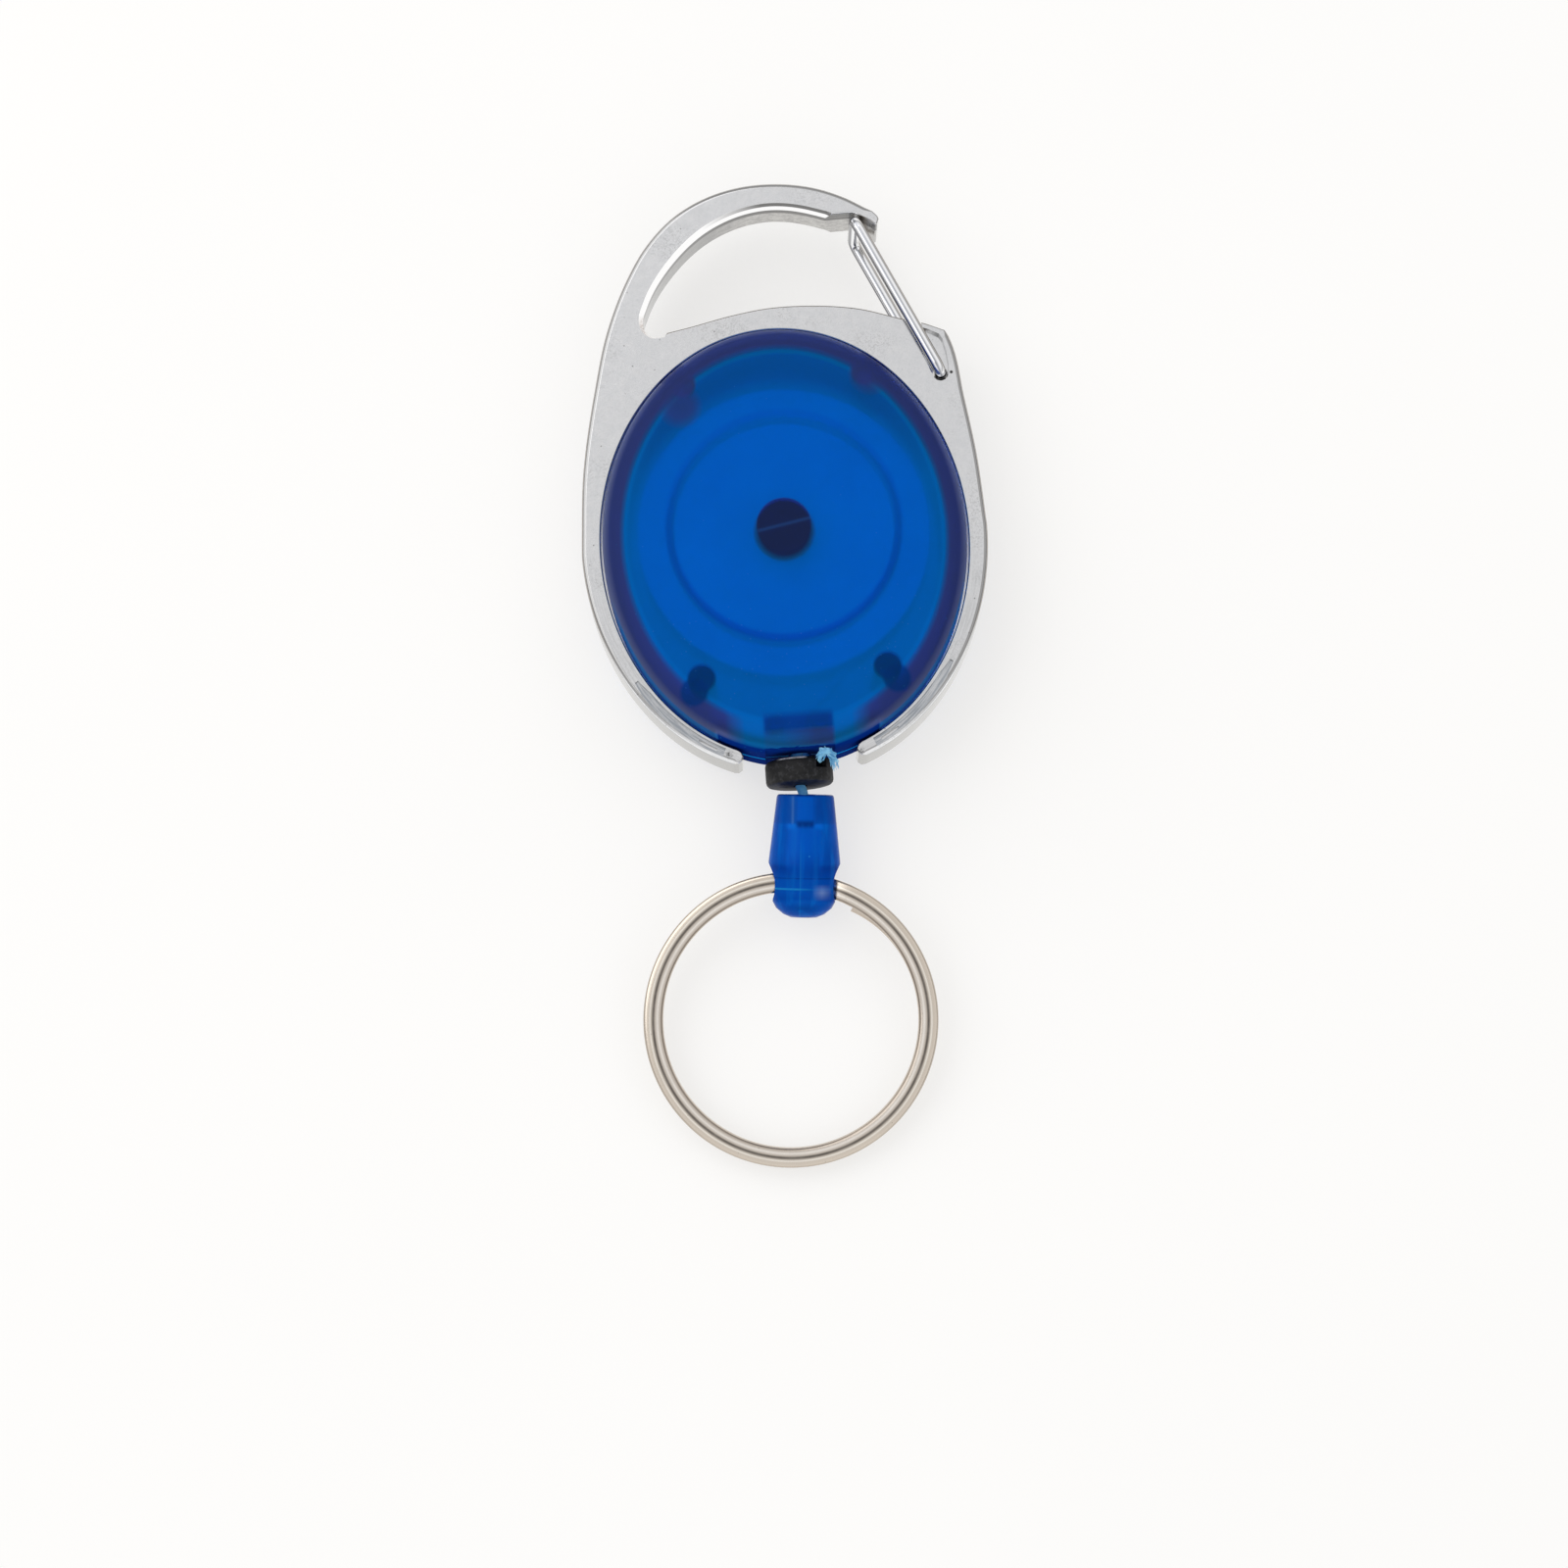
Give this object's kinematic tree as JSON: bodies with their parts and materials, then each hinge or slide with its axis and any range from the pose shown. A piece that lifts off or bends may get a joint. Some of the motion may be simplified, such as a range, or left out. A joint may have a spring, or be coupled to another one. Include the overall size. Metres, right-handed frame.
{
  "type": "retractable key reel",
  "caption": "Key reel: oval translucent case in a carabiner frame with a sprung wire gate, a cord spool wound by a power spring, a stopper, a swivel fitting and a split ring.",
  "frame": {"origin": "on the spool's axis, in the plane of the rear shell's flat back face", "axes": "+X to the right in the picture, +Y towards the hook, +Z towards the front"},
  "size_m": [0.0416, 0.1012, 0.0125],
  "materials": {
    "chrome": "bright plated",
    "wire_steel": "bright drawn wire",
    "case_blue": "satin translucent",
    "spool_blue": "moulded translucent",
    "cover_clear": "moulded",
    "spring_steel": "blued strip",
    "cord_blue": "braided",
    "rubber_black": "matte",
    "ring_steel": "nickel plated"
  },
  "bodies": {
    "case": {"carabiner_frame": "chrome", "front_shell": "case_blue", "rear_shell": "case_blue", "cord_run": "cord_blue"},
    "gate": {"wire_gate": "wire_steel"},
    "drum": {"spool": "spool_blue", "spring_cover": "cover_clear", "cord_core": "cord_blue", "cord_winding": "cord_blue", "power_spring": "spring_steel"},
    "cord_head": {"stopper": "rubber_black", "cord_end": "cord_blue", "cord_tail": "cord_blue"},
    "fitting": {"ring_fitting": "case_blue"},
    "ring": {"split_ring": "ring_steel"}
  },
  "joints": [
    {"name": "gate_swing", "type": "hinge", "parent": "case", "child": "gate", "pos_m": [0.01725, 0.01542, 0.00625], "axis": [0, 0, 1], "range_deg": [0, 30], "stiffness_Nm_per_rad": 0.03, "springref_deg": -17.19},
    {"name": "cord_pull", "type": "slide", "parent": "case", "child": "cord_head", "axis": [0, -1, 0], "range_m": [0, 0.6], "stiffness_N_per_m": 1, "springref_m": -1, "deforming": ["cord_run"]},
    {"name": "spool_spin", "type": "hinge", "parent": "case", "child": "drum", "pos_m": [0, 0, 0.00625], "axis": [0, 0, -1], "range_deg": [0, 2540], "deforming": ["power_spring", "cord_winding"]},
    {"name": "fitting_swivel", "type": "hinge", "parent": "cord_head", "child": "fitting", "pos_m": [0.00027, -0.02685, 0.00625], "axis": [0.0853, 0.9808, 0.1754], "continuous": true},
    {"name": "ring_swing", "type": "hinge", "parent": "fitting", "child": "ring", "pos_m": [-0.0005, -0.03568, 0.00467], "axis": [0.9962, -0.0866, 0], "range_deg": [-60, 60]}
  ],
  "couplings": [
    {"joint": "spool_spin", "follows": "cord_pull", "rad_per_m": 73.529}
  ]
}
